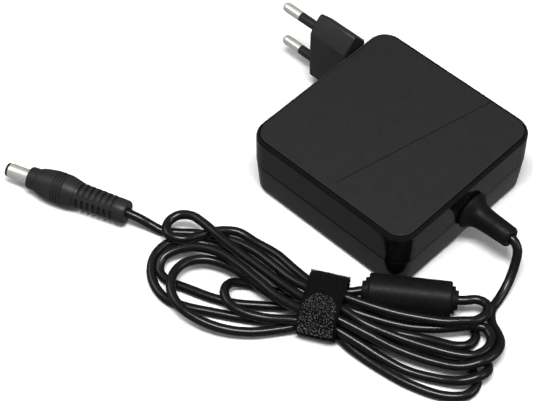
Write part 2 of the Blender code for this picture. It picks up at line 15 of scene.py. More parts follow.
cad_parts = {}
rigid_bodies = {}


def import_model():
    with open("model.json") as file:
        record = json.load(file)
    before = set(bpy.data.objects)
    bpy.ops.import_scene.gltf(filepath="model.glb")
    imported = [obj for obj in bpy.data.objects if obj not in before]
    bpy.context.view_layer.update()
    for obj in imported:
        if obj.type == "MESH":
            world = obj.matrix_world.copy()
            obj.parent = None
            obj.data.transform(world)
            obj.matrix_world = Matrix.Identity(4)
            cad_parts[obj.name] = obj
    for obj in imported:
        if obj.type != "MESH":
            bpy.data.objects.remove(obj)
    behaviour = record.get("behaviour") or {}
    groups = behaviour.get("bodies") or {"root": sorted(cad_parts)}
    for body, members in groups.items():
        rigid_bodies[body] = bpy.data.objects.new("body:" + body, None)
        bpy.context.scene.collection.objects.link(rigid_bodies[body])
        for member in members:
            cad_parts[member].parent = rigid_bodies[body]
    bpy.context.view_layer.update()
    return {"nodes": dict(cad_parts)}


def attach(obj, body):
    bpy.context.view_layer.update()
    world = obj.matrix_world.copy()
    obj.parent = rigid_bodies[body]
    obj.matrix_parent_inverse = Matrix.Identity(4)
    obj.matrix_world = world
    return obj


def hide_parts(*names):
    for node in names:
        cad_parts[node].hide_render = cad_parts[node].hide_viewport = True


for ob in list(bpy.data.objects):
    bpy.data.objects.remove(ob, do_unlink=True)

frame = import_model()
NODES = frame["nodes"]
MM = 0.001

# --- camera ----------------------------------------------------------------------
CAM_AT = (0.25802, -0.33198, 0.51042)
CAM_AZ, CAM_EL, CAM_ROLL = math.radians(44.21), math.radians(51.29), math.radians(-0.24)
CAM_LENS, CAM_SENSOR = 116.63, 36.0     # millimetres
CAM_FAR = 20.0
cam_data = bpy.data.cameras.new("camera")
cam_data.lens = CAM_LENS
cam_data.sensor_width = CAM_SENSOR
cam_data.clip_end = CAM_FAR
cam = bpy.data.objects.new("camera", cam_data)
bpy.context.scene.collection.objects.link(cam)
right = Vector((math.cos(CAM_AZ), math.sin(CAM_AZ), 0.0))
back = Vector((math.sin(CAM_AZ) * math.cos(CAM_EL),
               -math.cos(CAM_AZ) * math.cos(CAM_EL), math.sin(CAM_EL)))
up = back.cross(right)
right_r = right * math.cos(CAM_ROLL) + up * math.sin(CAM_ROLL)
up_r = up * math.cos(CAM_ROLL) - right * math.sin(CAM_ROLL)
cam.matrix_world = Matrix((
    (right_r.x, up_r.x, back.x, CAM_AT[0]), (right_r.y, up_r.y, back.y, CAM_AT[1]),
    (right_r.z, up_r.z, back.z, CAM_AT[2]), (0, 0, 0, 1)))
bpy.context.scene.camera = cam


# --- materials -------------------------------------------------------------------
NOISE_ROUGH = 0.55


class Look:
    """A Principled material with a few helpers for its procedural detail."""

    def __init__(self, name, colour, rough, metal=0.0, **sockets):
        self.mat = bpy.data.materials.new(name)
        self.mat.use_nodes = True
        self.tree = self.mat.node_tree
        self.shader = self.tree.nodes["Principled BSDF"]
        self.set("Base Color", (*colour, 1.0))
        self.set("Roughness", rough)
        self.set("Metallic", metal)
        for key, value in sockets.items():
            self.set(key.replace("_", " "), value)
        self.coord = self.node("ShaderNodeTexCoord").outputs["Object"]
        self.height = None

    def set(self, socket, value):
        self.shader.inputs[socket].default_value = value

    def node(self, kind, **props):
        n = self.tree.nodes.new(kind)
        for key, value in props.items():
            setattr(n, key, value)
        return n

    def link(self, a, b):
        self.tree.links.new(a, b)

    def mapped(self, scale):
        m = self.node("ShaderNodeMapping")
        m.inputs["Scale"].default_value = scale
        self.link(self.coord, m.inputs["Vector"])
        return m.outputs["Vector"]

    def noise(self, scale, detail=4.0, vector=None):
        n = self.node("ShaderNodeTexNoise")
        n.inputs["Scale"].default_value = scale
        n.inputs["Detail"].default_value = detail
        n.inputs["Roughness"].default_value = NOISE_ROUGH
        self.link(self.coord if vector is None else vector, n.inputs["Vector"])
        return n.outputs["Fac"]

    def cells(self, scale):
        n = self.node("ShaderNodeTexVoronoi")
        n.inputs["Scale"].default_value = scale
        self.link(self.coord, n.inputs["Vector"])
        return n.outputs["Distance"]

    def wave(self, scale, distortion=0.0, direction="X"):
        n = self.node("ShaderNodeTexWave", bands_direction=direction)
        n.inputs["Scale"].default_value = scale
        n.inputs["Distortion"].default_value = distortion
        self.link(self.coord, n.inputs["Vector"])
        return n.outputs["Fac"]

    def ranged(self, fac, low, high, start, end):
        n = self.node("ShaderNodeMapRange")
        n.inputs["From Min"].default_value = start
        n.inputs["From Max"].default_value = end
        n.inputs["To Min"].default_value = low
        n.inputs["To Max"].default_value = high
        self.link(fac, n.inputs["Value"])
        return n.outputs["Result"]

    def rough_from(self, fac, low, high, start=0.3, end=0.7):
        self.link(self.ranged(fac, low, high, start, end), self.shader.inputs["Roughness"])
        return self

    def colour_from(self, fac, a, b, start=0.3, end=0.7):
        n = self.node("ShaderNodeValToRGB")
        n.color_ramp.elements[0].position = start
        n.color_ramp.elements[0].color = (*a, 1.0)
        n.color_ramp.elements[1].position = end
        n.color_ramp.elements[1].color = (*b, 1.0)
        self.link(fac, n.inputs["Fac"])
        self.link(n.outputs["Color"], self.shader.inputs["Base Color"])
        return self

    def bump(self, fac, strength, distance):
        n = self.node("ShaderNodeBump")
        n.inputs["Strength"].default_value = strength
        n.inputs["Distance"].default_value = distance
        self.link(fac, n.inputs["Height"])
        if self.height is not None:
            self.link(self.height, n.inputs["Normal"])
        self.height = n.outputs["Normal"]
        self.link(self.height, self.shader.inputs["Normal"])
        return self


def make_looks():
    """The looks by material slot, plus those of the pieces made here.

    Colours are linear, textures are scaled in object space in metres, and a bump is a
    strength and a depth in metres.
    """
    k = {}
    a = Look("shell_gloss", (0.004, 0.004, 0.0042), 0.12, Specular_IOR_Level=0.34)
    a.colour_from(a.noise(90), (0.0034, 0.0034, 0.0036), (0.0046, 0.0046, 0.0048))
    a.rough_from(a.noise(260, 5), 0.09, 0.16).bump(a.noise(220, 2), 0.03, 0.00004)
    k["shell"] = a
    a = Look("panel_matte", (0.012, 0.012, 0.0123), 0.5, Specular_IOR_Level=0.25)
    grain = a.cells(2600)
    a.colour_from(a.noise(700, 4), (0.0112, 0.0112, 0.0115), (0.0128, 0.0128, 0.0131))
    a.rough_from(a.noise(420, 4), 0.46, 0.58).bump(grain, 0.22, 0.00006)
    a.bump(a.noise(3800, 2), 0.12, 0.00004)
    k["panel"] = a
    a = Look("moulded_satin", (0.01, 0.01, 0.0103), 0.42, Specular_IOR_Level=0.2)
    a.colour_from(a.noise(160, 5), (0.0150, 0.0150, 0.0153), (0.0205, 0.0205, 0.0208))
    a.rough_from(a.noise(500, 4), 0.34, 0.46).bump(a.cells(3000), 0.14, 0.00005)
    k["black"] = a
    a = Look("moulded_black", (0.004, 0.004, 0.0042), 0.5, Specular_IOR_Level=0.08)
    a.colour_from(a.noise(260, 5), (0.0045, 0.0045, 0.0047), (0.0075, 0.0075, 0.0078))
    a.rough_from(a.noise(600, 4), 0.36, 0.48).bump(a.cells(2400), 0.25, 0.00006)
    k["soft_black"] = a
    a = Look("cord_jacket", (0.0045, 0.0045, 0.0047), 0.24, Specular_IOR_Level=0.34)
    a.colour_from(a.noise(300, 4), (0.0035, 0.0035, 0.0037), (0.0055, 0.0055, 0.0057))
    a.rough_from(a.noise(700, 4), 0.20, 0.29).bump(a.noise(1400, 3), 0.08, 0.00008)
    k["cord"] = a
    a = Look("nickel", (0.9, 0.86, 0.81), 0.34, 0.75)
    brushed = a.noise(900, 3, vector=a.mapped((0.12, 1, 1)))
    a.colour_from(a.noise(220, 3), (0.84, 0.80, 0.75), (0.95, 0.92, 0.87))
    a.rough_from(brushed, 0.26, 0.42).bump(brushed, 0.06, 0.00003)
    k["metal"] = a
    a = Look("brass_plain", (0.72, 0.54, 0.27), 0.3, 1.0)
    a.colour_from(a.noise(260, 4), (0.60, 0.44, 0.21), (0.78, 0.60, 0.31))
    a.rough_from(a.noise(500, 3), 0.24, 0.42)
    k["brass"] = a
    a = Look("label_film", (0.5, 0.5, 0.5), 0.4)
    a.colour_from(a.noise(120, 3), (0.46, 0.46, 0.465), (0.56, 0.56, 0.56))
    a.rough_from(a.noise(600, 3), 0.34, 0.48).bump(a.noise(1500, 2), 0.05, 0.00003)
    k["label"] = a
    a = Look("solder_resist", (0.03, 0.13, 0.05), 0.35)
    weave = a.wave(900, distortion=0.4)
    a.colour_from(a.noise(180, 5), (0.02, 0.10, 0.035), (0.05, 0.18, 0.07))
    a.rough_from(weave, 0.3, 0.45, 0, 1).bump(weave, 0.1, 0.00004)
    k["board"] = a
    a = Look("sintered_ferrite", (0.05, 0.05, 0.055), 0.6)
    a.colour_from(a.noise(400, 6), (0.035, 0.035, 0.04), (0.07, 0.07, 0.075))
    a.rough_from(a.noise(900, 4), 0.5, 0.7).bump(a.noise(1500, 4), 0.3, 0.0001)
    k["ferrite"] = a
    a = Look("winding_tape", (0.72, 0.52, 0.08), 0.35)
    a.colour_from(a.noise(200, 4), (0.62, 0.44, 0.06), (0.78, 0.58, 0.12))
    a.rough_from(a.noise(500, 3), 0.28, 0.42).bump(a.wave(500, direction="Z"), 0.15, 0.00006)
    k["tape"] = a
    a = Look("can_sleeve", (0.02, 0.035, 0.09), 0.3)
    a.colour_from(a.noise(160, 3), (0.015, 0.03, 0.08), (0.03, 0.045, 0.11))
    a.rough_from(a.noise(400, 3), 0.24, 0.36).bump(a.noise(700, 3), 0.08, 0.00008)
    k["can"] = a
    a = Look("yellow_case", (0.72, 0.52, 0.08), 0.4)
    a.colour_from(a.noise(220, 3), (0.66, 0.47, 0.06), (0.78, 0.57, 0.1))
    a.rough_from(a.noise(500, 3), 0.34, 0.5).bump(a.cells(2200), 0.12, 0.00004)
    k["yellow"] = a
    a = Look("blue_dip", (0.03, 0.12, 0.38), 0.38)
    a.colour_from(a.noise(300, 4), (0.025, 0.1, 0.33), (0.05, 0.16, 0.45))
    a.rough_from(a.noise(500, 3), 0.3, 0.48).bump(a.noise(600, 3), 0.2, 0.0001)
    k["blue"] = a
    a = Look("enamel_wire", (0.62, 0.24, 0.09), 0.28, 1.0)
    turns = a.wave(620, direction="Z", distortion=0.2)
    a.colour_from(a.noise(260, 3), (0.54, 0.20, 0.07), (0.70, 0.29, 0.12))
    a.rough_from(turns, 0.22, 0.36, 0, 1).bump(turns, 0.5, 0.00012)
    k["copper"] = a
    a = Look("bare_aluminium", (0.6, 0.61, 0.63), 0.35, 1.0)
    drawn = a.noise(1100, 3, vector=a.mapped((1, 1, 0.1)))
    a.colour_from(a.noise(150, 3), (0.54, 0.55, 0.57), (0.66, 0.67, 0.69))
    a.rough_from(drawn, 0.26, 0.46).bump(drawn, 0.1, 0.00004)
    k["alu"] = a
    a = Look("resin_black", (0.02, 0.02, 0.021), 0.55)
    a.colour_from(a.noise(300, 4), (0.016, 0.016, 0.017), (0.028, 0.028, 0.029))
    a.rough_from(a.noise(700, 3), 0.48, 0.62).bump(a.noise(2600, 3), 0.2, 0.00005)
    k["resin"] = a
    a = Look("fuse_glass", (0.85, 0.87, 0.85), 0.08, Transmission_Weight=0.8, IOR=1.5)
    a.rough_from(a.noise(500, 3), 0.04, 0.14)
    k["glass"] = a
    a = Look("red_jacket", (0.42, 0.02, 0.02), 0.35)
    a.colour_from(a.noise(300, 4), (0.36, 0.016, 0.016), (0.48, 0.028, 0.026))
    a.rough_from(a.noise(500, 3), 0.28, 0.42).bump(a.noise(1200, 3), 0.08, 0.00006)
    k["red"] = a
    a = Look("tie_pile", (0.003, 0.003, 0.0031), 0.9, Sheen_Weight=0.02, Sheen_Roughness=0.5,
             Specular_IOR_Level=0.06)
    a.colour_from(a.noise(1300, 4), (0.001, 0.001, 0.0011), (0.006, 0.006, 0.0062))
    a.rough_from(a.noise(900, 3), 0.8, 0.98).bump(a.cells(2400), 0.8, 0.0003)
    k["velcro"] = a
    # painted highlight: the hooks' grey, far lighter than the near-black backing, stands in for
    # glints on their glossy plastic
    a = Look("tie_hooks_painted_glint", (0.1, 0.1, 0.102), 0.3, Specular_IOR_Level=0.5)
    a.colour_from(a.noise(900, 2), (0.012, 0.012, 0.013), (0.20, 0.20, 0.202))
    a.rough_from(a.noise(1200, 3), 0.22, 0.4).bump(a.noise(2500, 2), 0.1, 0.00003)
    k["hooks"] = a
    return k


LOOKS = make_looks()


WELD = 1e-6                             # metres
EDGE_LIMIT, SHELL_EDGE_LIMIT = 34, 14   # degrees


def soften_group(name, limit):
    """Welds the split faces of an imported mesh and keeps only edges over limit sharp."""
    g = bpy.data.node_groups.new(name, "GeometryNodeTree")
    g.interface.new_socket("Geometry", in_out="INPUT", socket_type="NodeSocketGeometry")
    g.interface.new_socket("Geometry", in_out="OUTPUT", socket_type="NodeSocketGeometry")
    n = {k: g.nodes.new(t) for k, t in (
        ("in", "NodeGroupInput"), ("out", "NodeGroupOutput"),
        ("merge", "GeometryNodeMergeByDistance"), ("angle", "GeometryNodeInputMeshEdgeAngle"),
        ("sharp", "FunctionNodeCompare"), ("faces", "GeometryNodeSetShadeSmooth"),
        ("edges", "GeometryNodeSetShadeSmooth"))}
    n["merge"].inputs["Distance"].default_value = WELD
    n["sharp"].data_type, n["sharp"].operation = "FLOAT", "GREATER_THAN"
    n["sharp"].inputs["B"].default_value = math.radians(limit)
    n["edges"].domain = "EDGE"
    n["edges"].inputs["Shade Smooth"].default_value = False
    link = g.links.new
    link(n["in"].outputs[0], n["merge"].inputs["Geometry"])
    link(n["merge"].outputs["Geometry"], n["faces"].inputs["Geometry"])
    link(n["faces"].outputs["Geometry"], n["edges"].inputs["Geometry"])
    link(n["angle"].outputs["Unsigned Angle"], n["sharp"].inputs["A"])
    link(n["sharp"].outputs["Result"], n["edges"].inputs["Selection"])
    link(n["edges"].outputs["Geometry"], n["out"].inputs[0])
    return g


SOFTEN = soften_group("soften", EDGE_LIMIT)
SOFTEN_SHELL = soften_group("soften_shell", SHELL_EDGE_LIMIT)
SOFT_BLACK = ("ferrite_overmould", "strain_relief_boot")
SHELLS = ("upper_shell", "lower_shell")
for name, node in NODES.items():
    slot = node.data.materials[0].name.split(".")[0]
    look = "soft_black" if name in SOFT_BLACK else slot
    node.data.materials[0] = LOOKS[look].mat
    if "custom_normal" in node.data.attributes:
        node.data.attributes.remove(node.data.attributes["custom_normal"])
    mod = node.modifiers.new("soften", "NODES")
    mod.node_group = SOFTEN_SHELL if name in SHELLS else SOFTEN


def skin(bm, rows):
    """Closes the rows of a tube into faces, with a cap at each end."""
    m = len(rows[0])
    for a, b in zip(rows, rows[1:]):
        for j in range(m):
            bm.faces.new((a[j], a[(j + 1) % m], b[(j + 1) % m], b[j]))
    bm.faces.new(rows[0][::-1])
    bm.faces.new(rows[-1])


def add(name, bm, look, smooth=True):
    me = bpy.data.meshes.new(name)
    bmesh.ops.recalc_face_normals(bm, faces=bm.faces)
    bm.to_mesh(me)
    bm.free()
    if smooth:
        me.shade_smooth()
    me.materials.append(LOOKS[look].mat)
    ob = bpy.data.objects.new(name, me)
    bpy.context.scene.collection.objects.link(ob)
    return ob


def add_tube(bm, pts, radius, sides, taper):
    """A closed tube along pts that narrows to taper times its radius at the far end."""
    pts = [Vector(p) for p in pts]
    side = (pts[1] - pts[0]).orthogonal().normalized()
    rows = []
    for i, p in enumerate(pts):
        d = (pts[min(i + 1, len(pts) - 1)] - pts[max(i - 1, 0)]).normalized()
        side = (side - d * side.dot(d)).normalized()
        other = d.cross(side)
        r = radius * (1 + (taper - 1) * i / (len(pts) - 1))
        rows.append([bm.verts.new(p + (side * math.cos(a) + other * math.sin(a)) * r)
                     for a in (2 * math.pi * j / sides for j in range(sides))])
    skin(bm, rows)


# --- cord ------------------------------------------------------------------------
CORD_D = 3.5
LINE_STEPS = 10                         # samples from one route point to the next
PASS_HALF = 5                           # how far a pass runs straight each side of the tie's middle
TIE_AT = (24.6, -63.2, 6.95)
TIE_TURN = math.radians(29.0)
TIE_U = Vector((math.cos(TIE_TURN), math.sin(TIE_TURN), 0))
TIE_V = Vector((-math.sin(TIE_TURN), math.cos(TIE_TURN), 0))
# where each strand passes through the tie: across it, and height above the floor
PASSES = {"T1": (3.8, 9.9), "T2": (-1.2, 9.9), "T3": (-6.0, 9.9),
          "M1": (8.3, 6.6), "M2": (1.4, 6.4), "M3": (-3.6, 6.5), "M4": (-8.2, 6.5),
          "L1": (4.6, 3.1), "L2": (0.4, 3.0), "L3": (-3.6, 2.95), "L4": (-7.4, 2.9)}


def through_tie(name, to):
    """Three points of a pass through the tie: to is 1 towards the ferrite, -1 away from it."""
    t, z = PASSES[name]
    return [(TIE_AT[0] + s * TIE_U.x + t * TIE_V.x, TIE_AT[1] + s * TIE_U.y + t * TIE_V.y, z)
            for s in (-PASS_HALF * to, 0, PASS_HALF * to)]


ROUTE = [
    # boot and right lobe
    (52, 1.3, 15.2), (55, 1.3, 15.2), (58, 1.25, 15.0), (61.0, 0.3, 12.9), (63, -3, 8.4),
    (64.8, -8.6, 4.2), (66.0, -14.6, 2.2), (67.0, -19.8, 1.85), (70.4, -24.2, 1.95),
    (75.6, -27.2, 3.0), (79.8, -31.2, 4.9), (81.4, -36.6, 6.4), (80.4, -42.2, 6.7),
    (76.2, -48.2, 5.7), (67.5, -53.2, 5.0), (54.5, -58.9, 6.2), (44, -62.4, 8.4),
    *through_tie("T3", -1),
    # left lobe
    (12, -73.0, 9.6), (2, -72.6, 9.2), (-9, -72.2, 8.8), (-18.5, -73.0, 8.3),
    (-26.8, -76.4, 6.8), (-32.0, -81.6, 5.2), (-33.7, -86.8, 3.8), (-31.2, -90.8, 2.4),
    (-26, -91.6, 1.9), (-18, -89.0, 1.85), (-9.5, -86.0, 1.85), (-1.5, -82.0, 1.85),
    (5, -77.0, 1.85), (10.5, -72.4, 1.9), (15.5, -68.3, 2.4),
    *through_tie("L2", 1),
    # right lobe
    (42.5, -56.4, 2.0), (53, -52.5, 1.85), (61.5, -48.7, 1.85), (69.5, -44.0, 1.85),
    (75.4, -39.4, 1.85), (79.6, -38.8, 2.3), (83.0, -41.6, 3.8), (83.4, -46.0, 5.3),
    (80.4, -51.2, 4.6), (74, -55.4, 2.9), (62.4, -60.8, 2.1), (52, -63.9, 3.8),
    (43.4, -65.6, 5.3),
    *through_tie("M4", -1),
    # left lobe
    (20.3, -75.2, 6.2), (13.5, -80, 5.3), (6.2, -84.0, 5.4), (-1.0, -85.2, 5.7),
    (-6.2, -82.3, 5.6), (-7.6, -77.6, 4.2), (-4.4, -73.2, 2.4), (2.6, -69.6, 1.85),
    (10.5, -65.4, 2.1),
    *through_tie("L1", 1),
    # right lobe
    (40, -50.6, 2.1), (50, -43.4, 1.85), (57.6, -36.6, 1.85), (61.6, -32.8, 1.85),
    (66.2, -30.8, 1.85), (70.4, -33.0, 1.85), (70.8, -37.4, 1.85), (67.6, -41.2, 2.0),
    (63.4, -44.2, 3.0), (58.6, -47.8, 4.4), (52, -52.3, 5.3), (46, -56.0, 5.6),
    (40, -59.2, 6.0),
    *through_tie("M3", -1),
    # left lobe
    (12, -71.4, 6.0), (2, -72.3, 5.6), (-6, -72.4, 5.5), (-14, -73.6, 5.2),
    (-21.2, -77.2, 5.4), (-25.0, -83.6, 6.0), (-24.2, -90.6, 6.3), (-19.2, -96.2, 6.2),
    (-12, -98.4, 5.7), (-3, -97, 4.8), (5.5, -93.0, 3.9), (12.5, -87.2, 3.3),
    (19.2, -78.6, 3.0),
    *through_tie("L4", 1),
    # right lobe
    (42.5, -67.4, 2.3), (51, -66.8, 1.85), (66, -64.4, 1.85), (78.4, -59.4, 1.85),
    (83.8, -53.4, 1.85), (83.0, -47.4, 1.85), (78.4, -45.0, 1.85), (69, -49.2, 1.85),
    (61, -53.4, 1.85), (53, -57, 1.85), (43, -60.6, 2.1),
    *through_tie("L3", -1),
    # left lobe
    (18.8, -73.2, 2.5), (12.5, -79.2, 1.9), (4.5, -84.9, 1.85), (-4.5, -90.3, 1.85),
    (-12.5, -94.9, 1.85), (-20, -97.6, 1.85), (-27.3, -96.6, 1.85), (-33.6, -92.8, 2.0),
    (-37.4, -87, 2.7), (-37.5, -80.6, 3.2), (-33.4, -75.0, 2.9), (-26.0, -69.7, 2.7),
    (-16, -66.0, 3.4), (-2, -65.6, 4.6), (9.5, -66.0, 5.8),
    *through_tie("M2", 1),
    # right lobe
    (38, -55.4, 5.9), (45, -52.0, 5.4), (52, -48.0, 5.3), (58.0, -43.2, 5.3),
    (63.4, -37.4, 5.3), (67.2, -32.8, 5.3), (71.6, -29.8, 5.2), (76.0, -31.6, 5.2),
    (77.8, -36.4, 5.3), (76.2, -41.6, 5.4), (71.8, -45.4, 5.5), (64, -49.7, 5.9),
    (57.5, -53.2, 6.8), (51.5, -56.0, 7.7), (42, -59.9, 9.3),
    *through_tie("T2", -1),
    # left lobe
    (12, -67.6, 9.6), (1, -67.8, 9.2), (-14, -68.0, 8.8), (-24, -68.0, 9.0),
    (-31.6, -67.6, 8.9), (-37.4, -68.0, 8.5), (-41.6, -71.0, 7.7), (-42.2, -75.8, 7.0),
    (-38.4, -79.2, 6.8), (-33.4, -77.2, 6.7), (-30.4, -71.8, 5.9), (-27.6, -65.6, 5.6),
    (-22.4, -59.6, 4.4), (-14, -57.8, 3.6), (-4, -57.2, 5.0), (7, -58.4, 6.2),
    *through_tie("M1", 1)[:2],
    # ferrite and right lobe
    (27.2, -52.2, 6.7), (30.4, -48.4, 6.9), (36, -44.2, 6.9), (43.8, -38.5, 6.9),
    (51.6, -32.8, 6.9), (57.2, -28.6, 6.95), (59.6, -26.4, 7.0), (62.4, -23.4, 7.1),
    (66.2, -22.8, 7.4), (69.0, -26.4, 7.9), (68.4, -31.4, 8.5), (65.0, -35.4, 8.8),
    (61.0, -39.6, 8.9), (54, -44.6, 9.2), (46.5, -49.2, 9.5), (38.5, -53.0, 9.8),
    *through_tie("T1", -1),
    # left lobe and DC plug
    (9.5, -63.6, 8.9), (1, -63.0, 7.8), (-9, -62.2, 6.2), (-18, -62.6, 4.0),
    (-26.4, -64.8, 2.0), (-34.0, -69.2, 1.85), (-39.8, -74.2, 1.85), (-44, -77.2, 2.0),
    (-48.4, -78.9, 3.4), (-52.6, -80.7, 5.2), (-57.0, -82.4, 6.15), (-60, -83.45, 6.25),
    (-63, -84.5, 6.25),
]


def smooth_line(points):
    """Centripetal Catmull-Rom line through the points."""
    p = np.array(points, float)
    p = np.vstack([2 * p[0] - p[1], p, 2 * p[-1] - p[-2]])
    out = []
    for i in range(1, len(p) - 2):
        p0, p1, p2, p3 = p[i - 1:i + 3]
        t1 = np.linalg.norm(p1 - p0) ** 0.5
        t2 = t1 + np.linalg.norm(p2 - p1) ** 0.5
        t3 = t2 + np.linalg.norm(p3 - p2) ** 0.5
        for t in np.linspace(t1, t2, LINE_STEPS, endpoint=False):
            a1 = (t1 - t) / t1 * p0 + t / t1 * p1
            a2 = (t2 - t) / (t2 - t1) * p1 + (t - t1) / (t2 - t1) * p2
            a3 = (t3 - t) / (t3 - t2) * p2 + (t - t2) / (t3 - t2) * p3
            b1 = (t2 - t) / t2 * a1 + t / t2 * a2
            b2 = (t3 - t) / (t3 - t1) * a2 + (t - t1) / (t3 - t1) * a3
            out.append((t2 - t) / (t2 - t1) * b1 + (t - t1) / (t2 - t1) * b2)
    out.append(p[-2])
    return np.array(out)


LINE = smooth_line(ROUTE)
curve = bpy.data.curves.new("cord", "CURVE")
curve.dimensions = "3D"
curve.bevel_depth = CORD_D / 2 * MM
curve.bevel_resolution = 4
curve.use_fill_caps = True
spline = curve.splines.new("POLY")
spline.points.add(len(LINE) - 1)
for point, at in zip(spline.points, LINE):
    point.co = (*(at * MM), 1.0)
spline.use_smooth = True
curve.materials.append(LOOKS["cord"].mat)
cord = bpy.data.objects.new("cord", curve)
bpy.context.scene.collection.objects.link(cord)
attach(cord, "housing")
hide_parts("cord_lead", "cord_through_ferrite", "cord_tail", "cord_hank")

# --- hook-and-loop tie -----------------------------------------------------------
rng = random.Random(7)
TIE_T, TIE_Z, TIE_ROUND = 10.5, 5.75, 3.4   # the loop's inner half width, half height, corner
TIE_THICK, TIE_HALF = 1.2, 7.1              # the strap's thickness and half width
CORNER_STEPS = 24
BAND_ROWS, BAND_COLS = 210, 42
HAIRS, HAIR_SPOTS, HAIR_R = 6500, 400, 0.055
HAIR_LOWEST = -6.8                          # from the tie's middle, just above the floor
TONGUE_LONG, TONGUE_BEND, TONGUE_FLAT, TONGUE_GAP = 16.6, 5.0, 6.0, 0.3
TONGUE_ROWS, TONGUE_COLS = 72, 36
HOOK_PITCH, HOOK_ROOT = 0.74, 0.75
# height above the tongue's lower face and reach to the side, from a hook's root to its tip
HOOK_PROFILE = ((HOOK_ROOT, 0.0), (1.05, 0.02), (1.22, 0.12), (1.25, 0.26), (1.15, 0.34))


def tie_point(u, t, z):
    return (Vector(TIE_AT) + TIE_U * u + TIE_V * t + Vector((0, 0, z))) * MM


def band_path(grow, n):
    """n points and outward normals, (t, z), evenly round the band's loop."""
    hx, hz, r = TIE_T + grow, TIE_Z + grow, TIE_ROUND + grow
    parts = []
    for cx, cz, a0 in ((hx - r, hz - r, 0), (r - hx, hz - r, 90), (r - hx, r - hz, 180),
                       (hx - r, r - hz, 270)):
        for k in range(CORNER_STEPS + 1):
            a = math.radians(a0 + 90 * k / CORNER_STEPS)
            parts.append((cx + r * math.cos(a), cz + r * math.sin(a), math.cos(a), math.sin(a)))
    parts = np.array(parts + parts[:1])
    along = np.r_[0, np.cumsum(np.linalg.norm(np.diff(parts[:, :2], axis=0), axis=1))]
    at = np.linspace(0, along[-1], n, endpoint=False)
    return np.stack([np.interp(at, along, parts[:, k]) for k in range(4)], 1)


def closed_strip(bm, grid):
    """Skins a grid of vertices that is closed round both ways."""
    n, m = len(grid), len(grid[0])
    for i in range(n):
        for j in range(m):
            bm.faces.new((grid[i][j], grid[(i + 1) % n][j], grid[(i + 1) % n][(j + 1) % m],
                          grid[i][(j + 1) % m]))


def build_band():
    """The strap's closed loop, with a wandering edge and a rough outer face."""
    bm = bmesh.new()
    n, wide = BAND_ROWS, BAND_COLS
    inner, outer = band_path(0.12, n), band_path(TIE_THICK - 0.15, n)
    grid = []
    for i in range(n):
        wob = 0.12 * math.sin(i * 0.21) + 0.08 * math.sin(i * 0.53 + 1)
        row = []
        for j in range(wide + 1):
            u = -TIE_HALF + 2 * TIE_HALF * j / wide
            edge = 1 - abs(2 * j / wide - 1) ** 8
            lift = 0.28 * rng.random() * edge - 0.35 * (1 - edge)
            if outer[i][3] < -0.7:
                lift = min(lift, -0.05)
            row.append((u * 0.992 + wob * 0.5, outer[i][0] + outer[i][2] * lift,
                        outer[i][1] + outer[i][3] * lift))
        for j in range(wide, -1, -6):
            u = -TIE_HALF + 2 * TIE_HALF * j / wide
            row.append((u * 0.985 + wob * 0.5, inner[i][0], inner[i][1]))
        grid.append([bm.verts.new(tie_point(*p)) for p in row])
    closed_strip(bm, grid)
    return add("tie_wrap", bm, "velcro")


def build_fuzz():
    """Loose loops and hairs of the pile, thicker along the two edges of the band."""
    bm = bmesh.new()
    path = band_path(TIE_THICK - 0.1, HAIR_SPOTS)
    for k in range(HAIRS):
        t, z, nt, nz = path[rng.randrange(HAIR_SPOTS)]
        if z < -TIE_Z - 0.4:
            continue
        rng.random()    # a draw that nothing uses, kept so that the next ones stay the same
        u = TIE_HALF * (rng.uniform(-1, 1) if k % 7 else rng.choice((-1, 1)) * rng.uniform(0.9, 1))
        long = rng.uniform(0.35, 0.95)
        lean_u, lean_t = rng.uniform(-0.6, 0.6), rng.uniform(-0.5, 0.5)
        if abs(u) > TIE_HALF * 0.9:
            long *= 0.7
            lean_u = math.copysign(rng.uniform(0.1, 0.7), u)
        pts = []
        for s in (0.0, 0.45, 0.8, 1.0):
            bend = s * s
            rise = s - 0.35 * bend
            pts.append(tie_point(
                u + lean_u * long * bend, t + long * (nt * rise + lean_t * -nz * bend),
                max(z + long * (nz * rise + lean_t * nt * bend), HAIR_LOWEST)))
        add_tube(bm, pts, HAIR_R * MM, 3, 0.45)
    return add("tie_pile_hairs", bm, "velcro", smooth=False)


def tongue_at(s, height):
    """(t, z) at s along the tongue's bend and height above its lower face."""
    top, side = TIE_Z + TIE_THICK + TONGUE_GAP, -(TIE_T + TIE_THICK + TONGUE_GAP)
    r, flat = TONGUE_BEND, TONGUE_FLAT
    arc = r * math.pi / 2
    if s < flat:
        at, out = (side + r + flat - s, top), (0.0, 1.0)
    elif s < flat + arc:
        a = (s - flat) / r
        at = (side + r - r * math.sin(a), top - r + r * math.cos(a))
        out = (-math.sin(a), math.cos(a))
    else:
        at, out = (side, top - r - (s - flat - arc)), (-1.0, 0.0)
    return at[0] + height * out[0], at[1] + height * out[1]


def tongue_half(s):
    """Half width: a long round end that widens to nearly the band's own width."""
    return 0.9 + 5.6 * math.sqrt(max(0.0, 1 - (1 - min(s / 7.6, 1.0)) ** 2.0))


def build_tongue():
    """The strap's free end: flat on top of the band, then bent down its side."""
    bm = bmesh.new()
    n, wide = TONGUE_ROWS, TONGUE_COLS
    rows = []
    for i in range(n + 1):
        s = TONGUE_LONG * i / n
        half = tongue_half(s)
        row = []
        for j in range(wide + 1):
            u = -1 + 2 * j / wide
            t, z = tongue_at(s, 0.92 + 0.10 * rng.random() - 0.35 * abs(u) ** 12)
            row.append((u * half, t, z))
        for j in range(wide, -1, -6):
            t, z = tongue_at(s, 0.02)
            row.append(((-1 + 2 * j / wide) * half * 0.985, t, z))
        rows.append([bm.verts.new(tie_point(*p)) for p in row])
    skin(bm, rows)
    return add("tie_tongue_backing", bm, "velcro")


